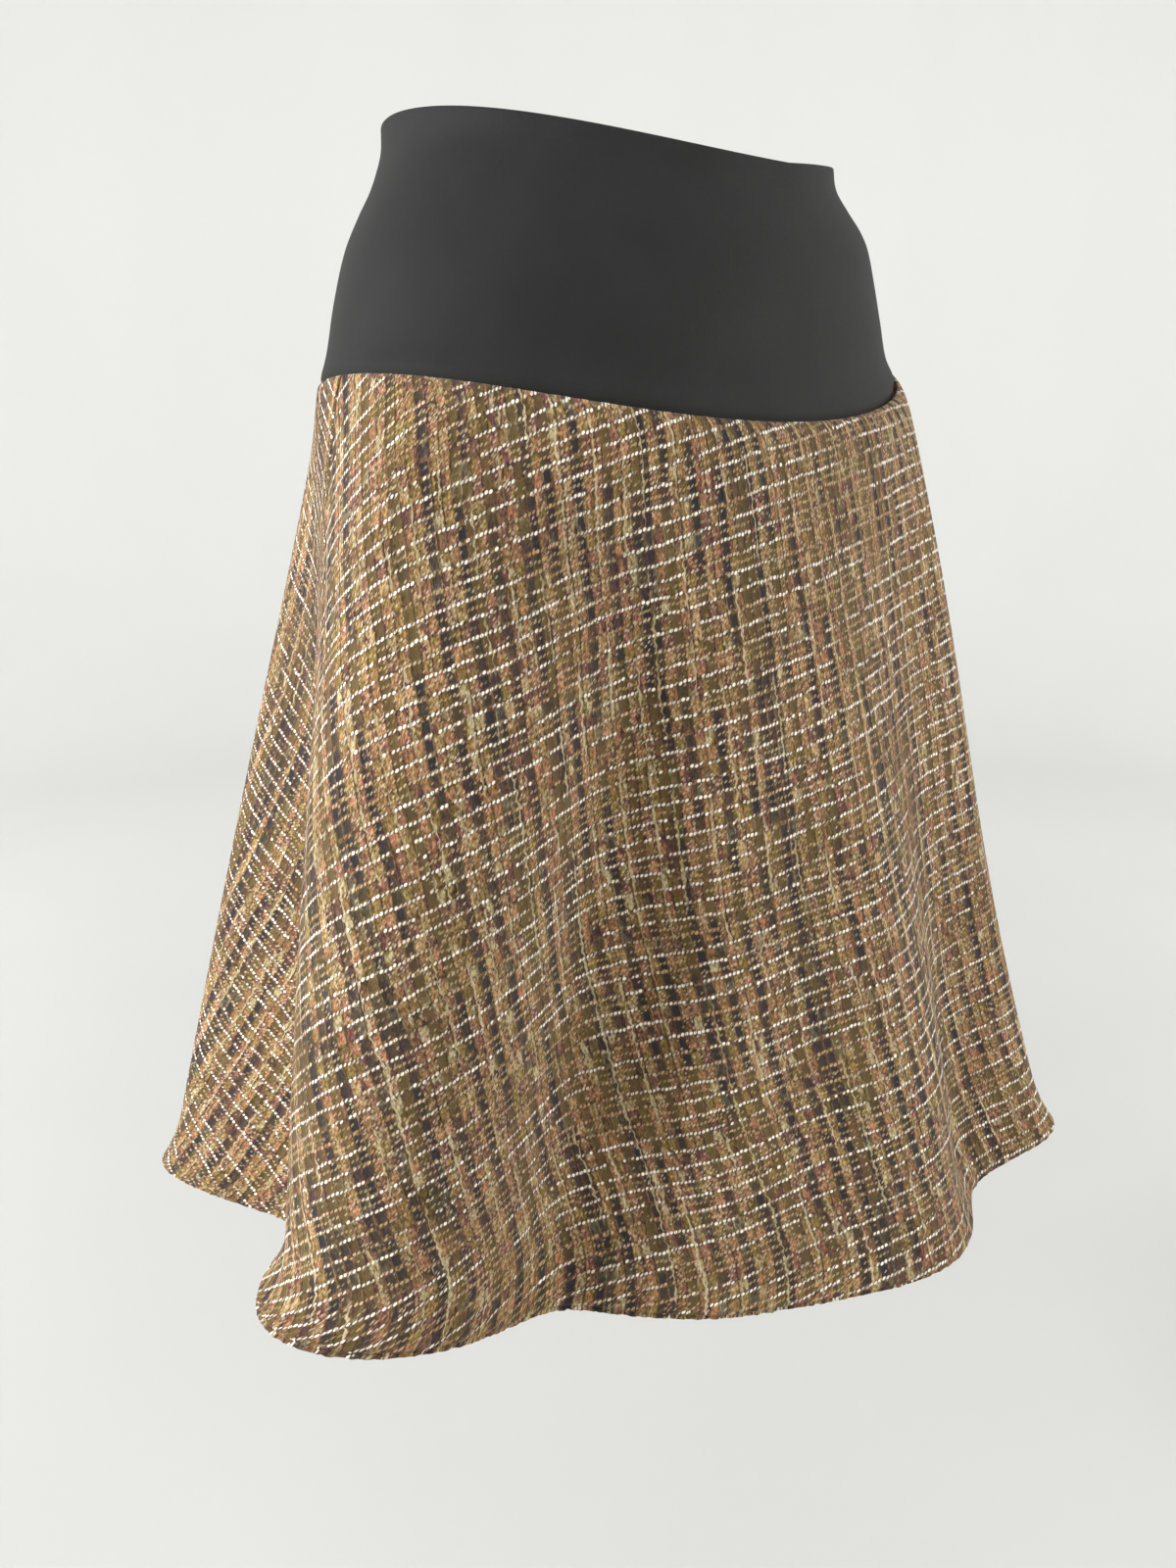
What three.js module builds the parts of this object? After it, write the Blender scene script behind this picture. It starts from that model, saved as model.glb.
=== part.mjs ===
// A-line skirt: a wide band of stretch jersey, folded at the waist, over a front and a back panel of
// tweed. Each panel is a sector of a ring, so it hangs in soft flutes that deepen towards the hem, and
// its lower edge is turned up inside.
//
// Millimetres and degrees. +Z is up, -Y is the wearer's front and +X the wearer's left. The origin is
// the centre of the waist, where the wearer holds the garment up.
//
// A place on the cloth has two numbers: the turn round the body, 0 at the centre front and positive
// towards the wearer's left, and the fraction of the way down the piece, 0 at its top and 1 at its foot.
import * as THREE from 'three';

// ---- Sizes on the body ----
// A ring round the body is an oval. Tilt lifts its front above its back, saddle lifts the front and back
// above the sides and left lifts the left side above the right. Negative values lower them.
const WAIST_RING = {
  halfWidth: 115, halfDepth: 102, sideways: 0, forward: 0, height: 0, tilt: -8.5, saddle: -6, left: 0,
};
const HIP_RING = {
  halfWidth: 169.2, halfDepth: 116.2, sideways: -1.2, forward: 11.6,
  height: -112, tilt: 2, saddle: -13.5, left: 3.4,
};

// How the band widens from waist to hip: the share of the way down, and the share of the widening at
// the right back and at the left front, where the figure fills it sooner.
const BAND_PROFILE = [
  { down: 0.00, rightBack: 0.00, leftFront: 0.00 },
  { down: 0.10, rightBack: 0.02, leftFront: 0.05 },
  { down: 0.20, rightBack: 0.12, leftFront: 0.23 },
  { down: 0.28, rightBack: 0.23, leftFront: 0.39 },
  { down: 0.36, rightBack: 0.37, leftFront: 0.50 },
  { down: 0.50, rightBack: 0.58, leftFront: 0.60 },
  { down: 0.70, rightBack: 0.76, leftFront: 0.72 },
  { down: 0.88, rightBack: 0.88, leftFront: 0.83 },
  { down: 1.00, rightBack: 1.00, leftFront: 1.00 },
];
const LEFT_FRONT = 41;

// ---- The cut ----
const SKIRT_LENGTH = 416.5;
const HEM_DEPTH = 11;
const SIDE_SEAM = { right: -97, left: 97 };
const BAND_WALL = 2.4;
const TWEED_WALL = 2.0;
const SEAM_GAP = 0.3;

// ---- How the tweed hangs ----
// The hem stands out from the hip ring by a smooth flare, plus the flutes. Negative depths are the
// hollows between flutes. Each fold is a bell across the turn: at is its centre at the hem, drift the
// turn by which it moves on its way down, spread its half width, depth how far it stands out at the
// hem, middle how much further it stands out two thirds of the way down, early how soon it opens: 0 in
// step with the length, above 0 sooner, below 0 later, and kick how much further than the rest its
// turned-up hem kicks out.
const FLARE = { even: 36, front: -12.5, sides: 21, left: 18.8 };
const FOLDS = [
  { at: -170.3, drift: 4, spread: 16.1, depth: 82, middle: 0, early: 0.2, kick: 0 },
  { at: -127.3, drift: 5, spread: 7.8, depth: 79, middle: 0, early: 0.06, kick: 0 },
  { at: -82.6, drift: -7.6, spread: 15.7, depth: 82, middle: 0, early: 1.33, kick: 11 },
  { at: -54.3, drift: -15.5, spread: 6.3, depth: -9.6, middle: 0, early: 0.48, kick: 0 },
  { at: -52, drift: -16, spread: 8.5, depth: 0, middle: -12, early: 0, kick: 0 },
  { at: -36, drift: -1, spread: 5.5, depth: 0, middle: -8, early: 0, kick: 0 },
  { at: -12, drift: 1, spread: 5, depth: 0, middle: -5, early: 0, kick: 0 },
  { at: 9.2, drift: 22.7, spread: 12.4, depth: 39, middle: 0, early: -0.25, kick: 0 },
  { at: 18.4, drift: -32, spread: 10.5, depth: -14.9, middle: 0, early: -0.2, kick: 0 },
  { at: 35.2, drift: 3.4, spread: 7, depth: 53.7, middle: 0, early: 0.36, kick: 0 },
  { at: 72.3, drift: -2, spread: 13.9, depth: 77.6, middle: 0, early: 0.4, kick: 0 },
  { at: 112, drift: 3, spread: 11.9, depth: 74, middle: 0, early: 0.15, kick: 0 },
  { at: 143, drift: -4, spread: 8.1, depth: 72, middle: 0, early: 0.3, kick: 0 },
];

// Makes the share of a fold's middle height 1 where it is greatest, two thirds of the way down.
const LOW_DOWN_PEAK = 6.75;

// The turned-up hem is stiffer than the cloth above it and kicks outwards over this height. At the top
// the tweed bulges over the seam with the band, most at the left front, and settles over this length.
const HEM_KICK = { out: 6, height: 34 };
const SEAM_BULGE = { even: 3, leftFront: 1.8, length: 6 };

// ---- Facets ----
const BAND_ROWS = 8;
const BAND_COLUMNS = 60;
const PANEL_ROWS = 12;
const PANEL_COLUMN_TURN = 3;
const SLOPE_STEP = 1e-3;
const MOST_LEAN = 0.95;

const COLOURS = {
  jersey: { color: 0x1d1d1f, roughness: 0.86, metalness: 0 },
  tweed: { color: 0x7d6543, roughness: 0.95, metalness: 0 },
};

const radians = THREE.MathUtils.degToRad;

// A point of an oval ring at a turn in degrees.
function ringPoint(ring, turn) {
  const angle = radians(turn);
  return new THREE.Vector3(
    ring.halfWidth * Math.sin(angle) + ring.sideways,
    -ring.halfDepth * Math.cos(angle) - ring.forward,
    ring.height + ring.tilt * Math.cos(angle) + ring.saddle * Math.cos(2 * angle)
      + ring.left * Math.sin(angle),
  );
}

// The level direction straight out from the hip ring at a turn.
function hipOutward(turn) {
  const angle = radians(turn);
  const sideways = Math.sin(angle) / HIP_RING.halfWidth;
  const backwards = -Math.cos(angle) / HIP_RING.halfDepth;
  return new THREE.Vector3(sideways, backwards, 0).normalize();
}

// The band's share of widening on one side at a share of its height, smooth from row to row.
function sideWidening(side, down) {
  const last = BAND_PROFILE.length - 1;
  let row = 0;
  while (row < last - 1 && BAND_PROFILE[row + 1].down < down) {
    row += 1;
  }
  const slopeAt = (index) => {
    const before = BAND_PROFILE[Math.max(index - 1, 0)];
    const after = BAND_PROFILE[Math.min(index + 1, last)];
    return (after[side] - before[side]) / (after.down - before.down);
  };
  const [from, to] = [BAND_PROFILE[row], BAND_PROFILE[row + 1]];
  const width = to.down - from.down;
  const part = (down - from.down) / width;
  const part2 = part * part;
  const part3 = part2 * part;
  return from[side] * (2 * part3 - 3 * part2 + 1) + to[side] * (3 * part2 - 2 * part3)
    + width * (slopeAt(row) * (part3 - 2 * part2 + part) + slopeAt(row + 1) * (part3 - part2));
}

// The band's share of widening at a turn and a share of its height.
function bandWidening(turn, down) {
  const toLeftFront = (1 + Math.cos(radians(turn - LEFT_FRONT))) / 2;
  return THREE.MathUtils.lerp(sideWidening('rightBack', down), sideWidening('leftFront', down), toLeftFront);
}

// A point of the band's outer face.
function bandPoint(turn, down) {
  const waist = ringPoint(WAIST_RING, turn);
  const hip = ringPoint(HIP_RING, turn);
  const widening = bandWidening(turn, down);
  return new THREE.Vector3(
    THREE.MathUtils.lerp(waist.x, hip.x, widening),
    THREE.MathUtils.lerp(waist.y, hip.y, widening),
    THREE.MathUtils.lerp(waist.z, hip.z, down),
  );
}

// The shortest signed turn from one place to another.
function turnBetween(from, to) {
  return THREE.MathUtils.euclideanModulo(to - from + 180, 360) - 180;
}

// How far the tweed stands out from the hip ring.
function standOff(turn, down) {
  const angle = radians(turn);
  const flare = FLARE.even + FLARE.front * Math.cos(angle) + FLARE.sides * Math.cos(2 * angle)
    + FLARE.left * Math.sin(angle);
  const length = down * SKIRT_LENGTH;
  const kicking = Math.max(0, 1 - (SKIRT_LENGTH - length) / HEM_KICK.height) ** 2;
  const bulge = SEAM_BULGE.even + SEAM_BULGE.leftFront * Math.cos(radians(turn - LEFT_FRONT));
  let total = flare * down + HEM_KICK.out * kicking + bulge * (1 - Math.exp(-length / SEAM_BULGE.length));
  for (const fold of FOLDS) {
    const away = turnBetween(fold.at + fold.drift * (down - 1), turn) / fold.spread;
    const opening = down * (1 + fold.early) / (1 + fold.early * down);
    const lowDown = LOW_DOWN_PEAK * down * down * (1 - down);
    const height = fold.depth * opening + fold.middle * lowDown + fold.kick * kicking;
    total += height * Math.exp(-away * away / 2);
  }
  return total;
}

// A point of the tweed's outer face. Cloth hangs from the hip ring and keeps its length, so its drop
// is what is left of the length after leaning out.
function tweedColumn(turn, rows) {
  const top = ringPoint(HIP_RING, turn);
  const out = hipOutward(turn);
  const points = [];
  let drop = 0;
  let downBefore = 0;
  let offBefore = 0;
  for (const down of rows) {
    const off = standOff(turn, down);
    const length = (down - downBefore) * SKIRT_LENGTH;
    const lean = Math.min(Math.abs(off - offBefore), MOST_LEAN * Math.abs(length));
    drop += Math.sign(length) * Math.sqrt(length * length - lean * lean);
    points.push(top.clone().addScaledVector(out, off).setZ(top.z - drop));
    downBefore = down;
    offBefore = off;
  }
  return points;
}

// Even steps from one value to another, ends included.
function steps(from, to, count) {
  return Array.from({ length: count + 1 }, (_, index) => from + (to - from) * index / count);
}

// The level step that carries a point of a face inwards through one unit of wall, from the face's two
// tangents: round the body and down the cloth.
function inwardStep(round, downwards) {
  const normal = new THREE.Vector3().crossVectors(round, downwards).normalize();
  const level = new THREE.Vector2(normal.x, normal.y);
  const reach = 1 / level.length();
  level.normalize().multiplyScalar(reach);
  return new THREE.Vector3(level.x, level.y, 0);
}

// A grid of face points and the inward step at each. columnAt gives a column's points, and columns are
// the turns. A closed grid joins its last column to its first.
function faceGrid(columns, rows, columnAt) {
  const points = columns.map((turn) => columnAt(turn, rows));
  const inward = columns.map((turn, column) => {
    const ahead = columnAt(turn + SLOPE_STEP, rows);
    const behind = columnAt(turn - SLOPE_STEP, rows);
    return rows.map((_, row) => {
      const round = new THREE.Vector3().subVectors(ahead[row], behind[row]);
      const above = points[column][Math.max(row - 1, 0)];
      const below = points[column][Math.min(row + 1, rows.length - 1)];
      return inwardStep(round, new THREE.Vector3().subVectors(below, above));
    });
  });
  return { points, inward };
}

// A wall between two depths under a face, as one closed solid.
function wall(grid, outerDepth, innerDepth, closed) {
  const columnCount = grid.points.length;
  const rowCount = grid.points[0].length;
  const positions = [];
  for (const depth of [outerDepth, innerDepth]) {
    grid.points.forEach((column, index) => {
      column.forEach((point, row) => {
        const place = point.clone().addScaledVector(grid.inward[index][row], depth);
        positions.push(place.x, place.y, place.z);
      });
    });
  }
  const at = (side, column, row) => (side * columnCount + column % columnCount) * rowCount + row;
  const triangles = [];
  const quad = (a, b, c, d) => triangles.push(a, b, c, a, c, d);
  const bays = closed ? columnCount : columnCount - 1;
  const lastRow = rowCount - 1;
  for (let column = 0; column < bays; column += 1) {
    const next = column + 1;
    for (let row = 0; row < lastRow; row += 1) {
      quad(at(0, column, row), at(0, column, row + 1), at(0, next, row + 1), at(0, next, row));
      quad(at(1, column, row), at(1, next, row), at(1, next, row + 1), at(1, column, row + 1));
    }
    quad(at(0, column, 0), at(0, next, 0), at(1, next, 0), at(1, column, 0));
    quad(at(0, column, lastRow), at(1, column, lastRow), at(1, next, lastRow), at(0, next, lastRow));
  }
  if (!closed) {
    for (let row = 0; row < lastRow; row += 1) {
      const end = columnCount - 1;
      quad(at(0, 0, row), at(1, 0, row), at(1, 0, row + 1), at(0, 0, row + 1));
      quad(at(0, end, row), at(0, end, row + 1), at(1, end, row + 1), at(1, end, row));
    }
  }
  const geometry = new THREE.BufferGeometry();
  geometry.setAttribute('position', new THREE.Float32BufferAttribute(positions, 3));
  geometry.setIndex(triangles);
  geometry.computeVertexNormals();
  return geometry;
}

function cloth(name, geometry, finish) {
  const mesh = new THREE.Mesh(geometry, new THREE.MeshStandardMaterial(finish));
  mesh.name = name;
  return mesh;
}

// The band: one tube of folded jersey.
function makeYoke() {
  const columns = steps(-180, 180, BAND_COLUMNS).slice(0, -1);
  const bandHeight = WAIST_RING.height - HIP_RING.height;
  const rows = steps(0, 1 - SEAM_GAP / 2 / bandHeight, BAND_ROWS);
  const grid = faceGrid(columns, rows, (turn, downs) => downs.map((down) => bandPoint(turn, down)));
  return cloth('yoke', wall(grid, 0, BAND_WALL, true), COLOURS.jersey);
}

// The turn that half the seam gap takes up at the hip ring, where the cloth is narrowest: the ring runs
// ahead.distanceTo(behind) in two slope steps.
function seamInset(turn) {
  const ahead = ringPoint(HIP_RING, turn + SLOPE_STEP);
  const behind = ringPoint(HIP_RING, turn - SLOPE_STEP);
  return SEAM_GAP * SLOPE_STEP / ahead.distanceTo(behind);
}

// The turns of a panel's columns, from one side seam to the other.
function panelColumns(from, to) {
  const count = Math.round((to - from) / PANEL_COLUMN_TURN);
  return steps(from + seamInset(from), to - seamInset(to), count);
}

function makePanel(name, from, to) {
  const rows = steps(SEAM_GAP / 2 / SKIRT_LENGTH, 1, PANEL_ROWS);
  const grid = faceGrid(panelColumns(from, to), rows, tweedColumn);
  return cloth(name, wall(grid, 0, TWEED_WALL, false), COLOURS.tweed);
}

// The turned-up edge lies inside its panel, a seam gap away from it.
function makeHem(name, from, to) {
  const panelRows = steps(SEAM_GAP / 2 / SKIRT_LENGTH, 1, PANEL_ROWS);
  const hemTop = 1 - HEM_DEPTH / SKIRT_LENGTH;
  const rows = [...panelRows.slice(0, -1), hemTop, 1];
  const whole = faceGrid(panelColumns(from, to), rows, tweedColumn);
  const foot = {
    points: whole.points.map((column) => column.slice(-2)),
    inward: whole.inward.map((column) => column.slice(-2)),
  };
  const outerDepth = TWEED_WALL + SEAM_GAP;
  return cloth(name, wall(foot, outerDepth, outerDepth + TWEED_WALL, false), COLOURS.tweed);
}

const { right, left } = SIDE_SEAM;
const skirt = new THREE.Group();
skirt.add(
  makeYoke(),
  makePanel('front_panel', right, left),
  makePanel('back_panel', left, right + 360),
  makeHem('front_hem', right, left),
  makeHem('back_hem', left, right + 360),
);

export default skirt;
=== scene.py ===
"""An A-line skirt: a wide band of black stretch jersey over two flared panels of tweed.

A place on the cloth has a turn round the body in degrees, 0 at the centre front and positive towards
the wearer's left, and a length in metres down from the seam between band and tweed.
"""

import math

import bmesh
import bpy
import numpy as np
from bpy.props import FloatProperty, FloatVectorProperty, IntProperty, PointerProperty
from mathutils import Matrix, Vector


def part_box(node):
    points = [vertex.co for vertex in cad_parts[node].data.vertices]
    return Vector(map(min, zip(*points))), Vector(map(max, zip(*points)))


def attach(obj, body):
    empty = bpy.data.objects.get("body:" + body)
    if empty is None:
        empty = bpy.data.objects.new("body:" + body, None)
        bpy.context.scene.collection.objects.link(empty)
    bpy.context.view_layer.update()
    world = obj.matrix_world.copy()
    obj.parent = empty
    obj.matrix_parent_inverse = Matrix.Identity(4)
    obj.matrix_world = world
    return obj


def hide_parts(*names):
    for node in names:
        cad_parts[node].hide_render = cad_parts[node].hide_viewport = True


bl_info = {
    "name": "A-line Skirt",
    "version": (1, 0, 0),
    "blender": (4, 5, 0),
    "location": "3D View > Sidebar > Skirt",
    "description": "Builds a flared tweed skirt with a wide jersey band, and a stage to show it on",
    "category": "Object",
}

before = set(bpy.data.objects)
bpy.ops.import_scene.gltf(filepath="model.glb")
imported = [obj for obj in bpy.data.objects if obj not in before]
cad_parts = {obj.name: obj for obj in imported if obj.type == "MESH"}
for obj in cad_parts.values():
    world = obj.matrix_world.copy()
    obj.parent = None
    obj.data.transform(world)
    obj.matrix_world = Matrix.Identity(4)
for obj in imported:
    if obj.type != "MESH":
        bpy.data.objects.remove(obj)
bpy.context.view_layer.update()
MM = 0.001

YOKE_LOW, YOKE_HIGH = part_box("yoke")
YOKE_SIZE = YOKE_HIGH - YOKE_LOW
YOKE_CENTRE = (YOKE_HIGH + YOKE_LOW) / 2

# Heights of the rings at the waist and at the seam round the hip, added to the ring's own: tilt lifts
# the front above the back, saddle the front and back above the sides, left the left above the right.
RING_HEIGHTS = {
    "waist": {"tilt": -8.5 * MM, "saddle": -6 * MM, "left": 0},
    "hip": {"tilt": 2 * MM, "saddle": -13.5 * MM, "left": 3.4 * MM},
}

# The band's share of its widening at a share of its height, at the right back and the left front.
BAND_PROFILE = np.array([
    (0.00, 0.00, 0.00),
    (0.10, 0.02, 0.05),
    (0.20, 0.12, 0.23),
    (0.28, 0.23, 0.39),
    (0.36, 0.37, 0.50),
    (0.50, 0.58, 0.60),
    (0.70, 0.76, 0.72),
    (0.88, 0.88, 0.83),
    (1.00, 1.00, 1.00),
], dtype=[("down", float), ("right_back", float), ("left_front", float)])
LEFT_FRONT = 41

# How far the hem stands out from the hip ring before the flutes are added.
FLARE = {"even": 36 * MM, "front": -12.5 * MM, "sides": 21 * MM, "left": 18.8 * MM}

# The flutes: where each lies at the hem, how far it drifts on its way down and its spread, in degrees;
# how far it stands out at the hem, how much further two thirds of the way down and how much it kicks
# out at the hem, in millimetres; how soon it opens.
FOLDS = np.array([
    (-170.3, 4, 16.1, 82, 0, 0, 0.2),
    (-127.3, 5, 7.8, 79, 0, 0, 0.06),
    (-82.6, -7.6, 15.7, 82, 0, 11, 1.33),
    (-54.3, -15.5, 6.3, -9.6, 0, 0, 0.48),
    (-52, -16, 8, 0, -15.5, 0, 0),
    (-36, -1, 5.5, 0, -9.5, 0, 0),
    (-12, 1, 5, 0, -5, 0, 0),
    (9.2, 22.7, 12.4, 39, 0, 0, -0.25),
    (18.4, -32, 10.5, -14.9, 0, 0, -0.2),
    (35.2, 3.4, 7, 53.7, 0, 0, 0.36),
    (72.3, -2, 13.9, 77.6, 0, 0, 0.4),
    (112, 3, 11.9, 74, 0, 0, 0.15),
    (143, -4, 8.1, 72, 0, 0, 0.3),
], dtype=[(name, float) for name in ("at", "drift", "spread", "depth", "middle", "kick", "early")])

# What brings the peak of down * down * (1 - down) to 1.
LOW_DOWN_PEAK = 27 / 4

# The kick of the hem, the bulge of the tweed over the seam, and the share of a step that it may lean.
HEM_KICK = {"out": 6 * MM, "height": 34 * MM}
SEAM_BULGE = {"even": 3 * MM, "left_front": 1.8 * MM, "length": 6 * MM}
STEEPEST_LEAN = 0.95

# How far the weave hangs off square, as a share of the grain's own slope: all the way down, and at
# the seam on top of that.
SAG = {"even": 0.27, "top": 0.18}

# The turns of the side seams, where each panel begins and ends.
SEAMS = {"front": (-97.0, 97.0), "back": (97.0, 263.0)}
FULL_TURN, HALF_TURN = 360, 180


class SkirtSizes(bpy.types.PropertyGroup):
    """Sizes of the skirt."""

    waist_width: FloatProperty(
        name="Waist width", description="Width of the waist ring, side to side",
        default=0.23, min=0.15, max=0.5, unit="LENGTH")
    waist_depth: FloatProperty(
        name="Waist depth", description="Depth of the waist ring, front to back",
        default=0.204, min=0.12, max=0.5, unit="LENGTH")
    hip_width: FloatProperty(
        name="Hip width", description="Width of the ring at the seam",
        default=YOKE_SIZE.x, min=0.2, max=0.7, unit="LENGTH")
    hip_depth: FloatProperty(
        name="Hip depth", description="Depth of the ring at the seam",
        default=YOKE_SIZE.y, min=0.15, max=0.7, unit="LENGTH")
    band_height: FloatProperty(
        name="Band height", description="Height from the seam up to the folded waist",
        default=0.112, min=0.05, max=0.2, unit="LENGTH")
    skirt_length: FloatProperty(
        name="Tweed length", description="Length of the tweed from the seam to the hem",
        default=0.4165, min=0.3, max=0.7, unit="LENGTH")
    band_wall: FloatProperty(
        name="Band thickness", description="Thickness of two layers of jersey",
        default=2.4 * MM, min=1 * MM, max=4 * MM, unit="LENGTH")
    tweed_wall: FloatProperty(
        name="Tweed thickness", description="Thickness of the tweed",
        default=2 * MM, min=1 * MM, max=4 * MM, unit="LENGTH")
    hem_depth: FloatProperty(
        name="Hem depth", description="Depth of the turned-up hem",
        default=11 * MM, min=6 * MM, max=40 * MM, unit="LENGTH")
    sector: FloatProperty(
        name="Sector", description="Angle of the ring sector that the whole skirt is cut from",
        default=math.radians(106), min=math.radians(60), max=math.radians(180), subtype="ANGLE")
    grain_turn: FloatProperty(
        name="Grain turn", description="Where on the front the warp hangs straight down",
        default=math.radians(20), min=-math.pi, max=math.pi, subtype="ANGLE")
    panel_columns: IntProperty(
        name="Panel columns", description="Columns of faces across each tweed panel",
        default=400, min=60, max=440)


class SkirtColours(bpy.types.PropertyGroup):
    """Colours of the cloths and their yarns."""

    jersey: FloatVectorProperty(
        name="Jersey", description="Colour of the jersey band", subtype="COLOR",
        default=(0.0155, 0.0155, 0.0157), min=0, max=1)
    charcoal: FloatVectorProperty(
        name="Charcoal", description="Colour of the darkest warp yarns", subtype="COLOR",
        default=(0.018, 0.017, 0.021), min=0, max=1)
    cream: FloatVectorProperty(
        name="Cream", description="Colour of the thin pale warp yarns", subtype="COLOR",
        default=(0.62, 0.49, 0.32), min=0, max=1)
    white: FloatVectorProperty(
        name="White", description="Colour of the pale weft yarns", subtype="COLOR",
        default=(0.86, 0.80, 0.69), min=0, max=1)
    tan: FloatVectorProperty(
        name="Tan", description="Colour of the weft where it isn't pale", subtype="COLOR",
        default=(0.50, 0.36, 0.17), min=0, max=1)


class StageSettings(bpy.types.PropertyGroup):
    """The camera, the floor and the light."""

    camera_distance: FloatProperty(
        name="Camera distance", description="Level distance from the waist's axis to the camera",
        default=0.729, min=0.3, max=5, unit="LENGTH")
    camera_height: FloatProperty(
        name="Camera height", description="Height of the camera above the waist",
        default=-0.104, min=-2, max=2, unit="LENGTH")
    camera_turn: FloatProperty(
        name="Camera turn", description="Turn of the camera's place round the wearer",
        default=math.radians(-48.9), min=-math.pi, max=math.pi, subtype="ANGLE")
    look_turn: FloatProperty(
        name="Look turn", description="Turn of the camera's line of sight",
        default=math.radians(-47.84), min=-math.pi, max=math.pi, subtype="ANGLE")
    look_down: FloatProperty(
        name="Look down", description="How far the camera looks down",
        default=math.radians(16.37), min=-1.5, max=1.5, subtype="ANGLE")
    camera_roll: FloatProperty(
        name="Camera roll", description="Tilt of the camera about its line of sight",
        default=math.radians(-0.41), min=-0.5, max=0.5, subtype="ANGLE")
    lens: FloatProperty(
        name="Lens", description="Focal length in millimetres",
        default=31.9, min=10, max=200, unit="CAMERA")
    floor_height: FloatProperty(
        name="Floor height", description="Height of the floor, where the wearer would stand",
        default=-1.0, min=-2, max=-0.55, unit="LENGTH")
    backdrop: FloatVectorProperty(
        name="Backdrop", description="Colour of the floor and backdrop", subtype="COLOR",
        default=(0.75, 0.752, 0.733), min=0, max=1)
    # Painted shade: the floor is painted darker near the skirt, down to this share of its colour.
    painted_floor_shade: FloatProperty(
        name="Floor shade", description="Shade of the floor near the skirt beside the backdrop",
        default=0.73, min=0, max=1, subtype="FACTOR")


# ---- Shapes ----

# Points on each round end of a cloth's edge.
CAP_POINTS = 5


def ring(name, turns, sizes):
    """An oval ring: x = half width sin t + sideways, y = -half depth cos t - forward, and its height
    plus tilt cos t + saddle cos 2t + left sin t."""
    angle = np.radians(turns)
    lift = RING_HEIGHTS[name]
    if name == "waist":
        width, depth, middle, height = sizes.waist_width, sizes.waist_depth, (0, 0), 0
    else:
        width, depth, middle = sizes.hip_width, sizes.hip_depth, YOKE_CENTRE[:2]
        height = -sizes.band_height
    x = middle[0] + width / 2 * np.sin(angle)
    y = middle[1] - depth / 2 * np.cos(angle)
    z = height + lift["tilt"] * np.cos(angle) + lift["saddle"] * np.cos(2 * angle)
    return np.stack([x, y, z + lift["left"] * np.sin(angle)], axis=-1)


def smooth_table(at, rows, values):
    """A cubic through a table's rows whose slope at each row is that of its neighbours' chord."""
    slopes = np.empty_like(values)
    slopes[1:-1] = (values[2:] - values[:-2]) / (rows[2:] - rows[:-2])
    slopes[0] = (values[1] - values[0]) / (rows[1] - rows[0])
    slopes[-1] = (values[-1] - values[-2]) / (rows[-1] - rows[-2])
    index = np.clip(np.searchsorted(rows, at) - 1, 0, len(rows) - 2)
    width = rows[index + 1] - rows[index]
    part = (at - rows[index]) / width
    rise = part * part * (3 - 2 * part)
    return (values[index] * (1 - rise) + values[index + 1] * rise
            + width * part * (1 - part) * (slopes[index] * (1 - part) - slopes[index + 1] * part))


def band_face(turns, down, sizes):
    """The band's outer face: from the waist ring to the hip ring, with a share of the widening that
    blends from the right back's column of the table to the left front's."""
    waist, hip = ring("waist", turns, sizes), ring("hip", turns, sizes)
    at = np.clip(down, 0, 1)
    right_back = smooth_table(at, BAND_PROFILE["down"], BAND_PROFILE["right_back"])
    left_front = smooth_table(at, BAND_PROFILE["down"], BAND_PROFILE["left_front"])
    to_left_front = (1 + np.cos(np.radians(turns - LEFT_FRONT))) / 2
    widening = (right_back + (left_front - right_back) * to_left_front)[..., None]
    face = waist + (hip - waist) * widening
    face[..., 2] = waist[..., 2] + (hip[..., 2] - waist[..., 2]) * down
    return face


def unit(vectors):
    """Vectors brought to a length of 1."""
    return vectors / np.linalg.norm(vectors, axis=-1, keepdims=True)


def turn_between(start, end):
    """The shortest signed turn from one place to another, in degrees."""
    return (end - start + HALF_TURN) % FULL_TURN - HALF_TURN


def stand_off(turns, lengths, sizes):
    """How far the tweed stands out from the hip ring: a flare that grows evenly down the skirt, a kick
    that grows as the square of the way into the hem, a bulge of 1 - exp(-length) over the seam, and for
    each fold a bell exp(-away squared / 2) across the turn."""
    whole = sizes.skirt_length
    down = lengths / whole
    angle = np.radians(turns)
    kicking = np.clip(1 - (whole - lengths) / HEM_KICK["height"], 0, None) ** 2
    bulge = SEAM_BULGE["even"] + SEAM_BULGE["left_front"] * np.cos(np.radians(turns - LEFT_FRONT))
    total = (
        FLARE["even"] + FLARE["front"] * np.cos(angle) + FLARE["sides"] * np.cos(2 * angle)
        + FLARE["left"] * np.sin(angle)
    ) * down
    total += HEM_KICK["out"] * kicking + bulge * (1 - np.exp(-lengths / SEAM_BULGE["length"]))
    for fold in FOLDS:
        away = turn_between(fold["at"] + fold["drift"] * (down - 1), turns) / fold["spread"]
        opening = down * (1 + fold["early"]) / (1 + fold["early"] * down)
        low_down = LOW_DOWN_PEAK * down * down * (1 - down)
        height = fold["depth"] * opening + fold["middle"] * low_down + fold["kick"] * kicking
        total += height * MM * np.exp(-away * away / 2)
    return total


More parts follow.
